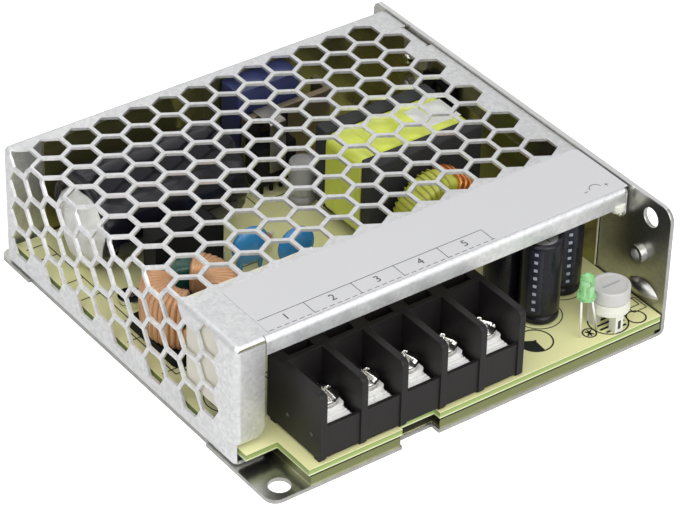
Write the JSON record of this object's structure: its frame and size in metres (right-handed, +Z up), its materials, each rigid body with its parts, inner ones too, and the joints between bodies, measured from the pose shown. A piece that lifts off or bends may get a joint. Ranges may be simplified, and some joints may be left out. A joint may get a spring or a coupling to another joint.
{
  "type": "mesh case switching power supply",
  "caption": "Enclosed switching power supply: folded sheet case with a honeycomb cover over the circuit board and a screw terminal block open at the front.",
  "frame": {"origin": "middle of the base plate's underside, at the centre of the overall length and width", "axes": "+X along the terminal row towards the tall side wall, +Y from the terminals towards the back, +Z up"},
  "size_m": [0.097, 0.099, 0.03],
  "materials": {
    "galvanised_sheet": "satin zinc with a faint mottle",
    "liner_card": "matt card",
    "label_film": "satin sticker",
    "insulating_film": "thin translucent film",
    "circuit_board": "pale solder side lacquer",
    "zinc_screw": "zinc plated",
    "terminal_moulding": "satin moulding",
    "bulk_sleeve": "shrunk sleeve",
    "silicone": "soft adhesive",
    "green_core": "lacquered ring",
    "copper_strip": "enamelled copper",
    "copper_wire": "enamelled copper",
    "yellow_core": "lacquered ring",
    "black_moulding": "satin moulding",
    "black_disc": "dipped",
    "black_package": "moulded package",
    "navy_box": "moulded box",
    "blue_disc": "dipped lacquer",
    "heatsink_plate": "plain plate",
    "spring_steel": "spring strip",
    "ferrite": "matt ferrite",
    "yellow_tape": "polyester tape",
    "can_sleeve": "shrunk sleeve",
    "grey_sleeve": "shrunk sleeve",
    "green_lens": "diffused lens",
    "tinned_wire": "tinned",
    "trimmer_moulding": "satin moulding",
    "trimmer_cap": "satin moulding",
    "nickel_plate": "nickel plated",
    "nickel_washer": "nickel plated",
    "nickel_screw": "nickel plated"
  },
  "bodies": {
    "unit": {"aux_capacitor": "grey_sleeve", "base_film": "insulating_film", "board": "circuit_board", "board_screws": "zinc_screw", "bridge_rectifier": "black_package", "bulk_adhesive": "silicone", "bulk_capacitor": "bulk_sleeve", "chassis": "galvanised_sheet", "control_chip": "black_package", "cover": "galvanised_sheet", "cover_liner": "liner_card", "cover_screws": "zinc_screw", "film_capacitor": "navy_box", "foot_screws": "zinc_screw", "fuse": "black_moulding", "heatsink": "heatsink_plate", "input_choke_base": "black_moulding", "input_choke_core": "green_core", "input_choke_winding_a": "copper_strip", "input_choke_winding_b": "copper_strip", "label": "label_film", "led_leads": "tinned_wire", "optocoupler": "black_package", "output_capacitor_1": "can_sleeve", "output_capacitor_2": "can_sleeve", "output_capacitor_3": "can_sleeve", "output_choke_core": "yellow_core", "output_choke_winding": "copper_wire", "output_rectifier": "black_package", "safety_capacitor_1": "blue_disc", "safety_capacitor_2": "blue_disc", "status_led": "green_lens", "switch_transistor": "black_package", "terminal_block": "terminal_moulding", "terminal_plate_1": "nickel_plate", "terminal_plate_2": "nickel_plate", "terminal_plate_3": "nickel_plate", "terminal_plate_4": "nickel_plate", "terminal_plate_5": "nickel_plate", "thermistor": "black_disc", "transformer_bobbin": "black_moulding", "transformer_core": "ferrite", "transformer_winding": "yellow_tape", "transistor_clip": "spring_steel", "trimmer_base": "trimmer_moulding"},
    "washer_1": {"terminal_washer_1": "nickel_washer"},
    "screw_1": {"terminal_screw_1": "nickel_screw"},
    "washer_2": {"terminal_washer_2": "nickel_washer"},
    "screw_2": {"terminal_screw_2": "nickel_screw"},
    "washer_3": {"terminal_washer_3": "nickel_washer"},
    "screw_3": {"terminal_screw_3": "nickel_screw"},
    "washer_4": {"terminal_washer_4": "nickel_washer"},
    "screw_4": {"terminal_screw_4": "nickel_screw"},
    "washer_5": {"terminal_washer_5": "nickel_washer"},
    "screw_5": {"terminal_screw_5": "nickel_screw"},
    "knob": {"trimmer_knob": "trimmer_cap"}
  },
  "joints": [
    {"name": "washer_1_lift", "type": "slide", "parent": "unit", "child": "washer_1", "axis": [0, 0, 1], "range_m": [0, 0.0035]},
    {"name": "screw_1_turn", "type": "hinge", "parent": "washer_1", "child": "screw_1", "pos_m": [-0.0317, -0.0418, 0.014], "axis": [0, 0, 1], "range_deg": [0, 2100.2]},
    {"name": "washer_2_lift", "type": "slide", "parent": "unit", "child": "washer_2", "axis": [0, 0, 1], "range_m": [0, 0.0035]},
    {"name": "screw_2_turn", "type": "hinge", "parent": "washer_2", "child": "screw_2", "pos_m": [-0.0222, -0.0418, 0.014], "axis": [0, 0, 1], "range_deg": [0, 2100.2]},
    {"name": "washer_3_lift", "type": "slide", "parent": "unit", "child": "washer_3", "axis": [0, 0, 1], "range_m": [0, 0.0035]},
    {"name": "screw_3_turn", "type": "hinge", "parent": "washer_3", "child": "screw_3", "pos_m": [-0.0127, -0.0418, 0.014], "axis": [0, 0, 1], "range_deg": [0, 2100.2]},
    {"name": "washer_4_lift", "type": "slide", "parent": "unit", "child": "washer_4", "axis": [0, 0, 1], "range_m": [0, 0.0035]},
    {"name": "screw_4_turn", "type": "hinge", "parent": "washer_4", "child": "screw_4", "pos_m": [-0.0032, -0.0418, 0.014], "axis": [0, 0, 1], "range_deg": [0, 2100.2]},
    {"name": "washer_5_lift", "type": "slide", "parent": "unit", "child": "washer_5", "axis": [0, 0, 1], "range_m": [0, 0.0035]},
    {"name": "screw_5_turn", "type": "hinge", "parent": "washer_5", "child": "screw_5", "pos_m": [0.0063, -0.0418, 0.014], "axis": [0, 0, 1], "range_deg": [0, 2100.2]},
    {"name": "trimmer_turn", "type": "hinge", "parent": "unit", "child": "knob", "pos_m": [0.037, -0.0452, 0.0111], "axis": [0, 0, 1], "range_deg": [-130, 130]}
  ],
  "couplings": [
    {"joint": "screw_1_turn", "follows": "washer_1_lift", "rad_per_m": 10472},
    {"joint": "screw_2_turn", "follows": "washer_2_lift", "rad_per_m": 10472},
    {"joint": "screw_3_turn", "follows": "washer_3_lift", "rad_per_m": 10472},
    {"joint": "screw_4_turn", "follows": "washer_4_lift", "rad_per_m": 10472},
    {"joint": "screw_5_turn", "follows": "washer_5_lift", "rad_per_m": 10472}
  ]
}
